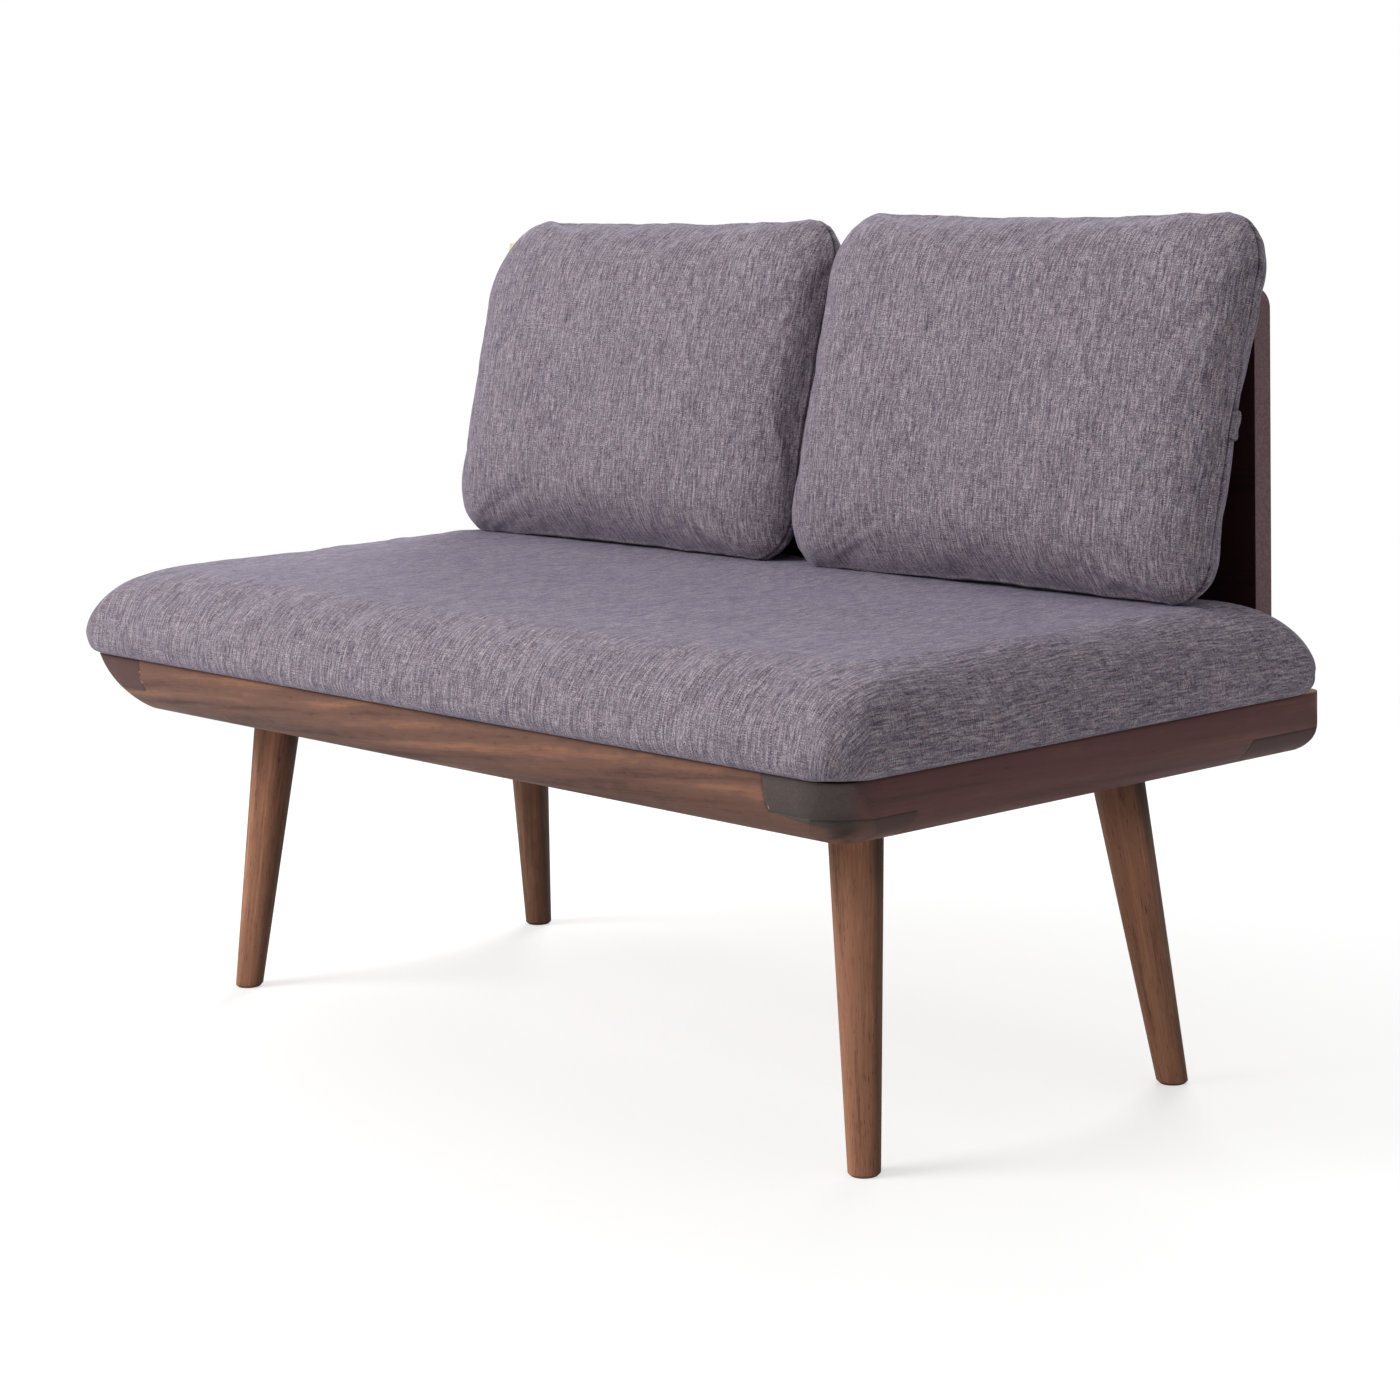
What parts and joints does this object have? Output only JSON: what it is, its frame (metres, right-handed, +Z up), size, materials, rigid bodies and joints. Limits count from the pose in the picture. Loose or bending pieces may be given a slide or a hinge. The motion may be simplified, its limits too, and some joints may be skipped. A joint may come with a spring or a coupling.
{
  "type": "armless sofa",
  "caption": "Armless sofa: upholstered seat pad on a stained wooden frame with round underside and splayed tapered legs, upright back panel and loose back cushions.",
  "frame": {"origin": "centre of the overall box at floor level, under the seat", "axes": "+X to the sitter's left as seen from the front (right in the picture), +Y to the back, +Z up"},
  "size_m": [1.202, 0.621, 0.8031],
  "materials": {
    "stained_wood": "satin",
    "stained_side_wood": "satin",
    "leg_wood": "satin",
    "panel_wood": "satin",
    "raw_wood": "matte",
    "plywood": "matte",
    "cloth": "matte",
    "foam": "matte",
    "zip": "matte",
    "steel": "satin"
  },
  "bodies": {
    "frame": {"front_rail": "stained_wood", "rear_rail": "stained_wood", "side_rail_left": "stained_side_wood", "side_rail_right": "stained_side_wood", "cross_bearer_left": "raw_wood", "cross_bearer_right": "raw_wood", "leg_block_front_left": "raw_wood", "leg_block_front_right": "raw_wood", "leg_block_rear_left": "raw_wood", "leg_block_rear_right": "raw_wood", "leg_front_left": "leg_wood", "leg_front_right": "leg_wood", "leg_rear_left": "leg_wood", "leg_rear_right": "leg_wood", "leg_bolts": "steel", "leg_inserts": "steel", "corner_dowels": "raw_wood", "block_screws": "steel", "back_panel": "panel_wood", "panel_screws": "steel", "seat_board": "plywood", "seat_screws": "steel", "seat_foam": "foam", "seat_cover": "cloth"},
    "back_cushion_left": {"back_cushion_left_cover": "cloth", "back_cushion_left_foam": "foam", "back_cushion_left_zip": "zip", "back_cushion_left_tab": "cloth"},
    "back_cushion_right": {"back_cushion_right_cover": "cloth", "back_cushion_right_foam": "foam", "back_cushion_right_zip": "zip", "back_cushion_right_tab": "cloth"}
  },
  "joints": [
    {"name": "back_cushion_left_lift", "type": "slide", "parent": "frame", "child": "back_cushion_left", "axis": [0, 0, 1], "range_m": [0, 0.3]},
    {"name": "back_cushion_right_lift", "type": "slide", "parent": "frame", "child": "back_cushion_right", "axis": [0, 0, 1], "range_m": [0, 0.3]}
  ]
}
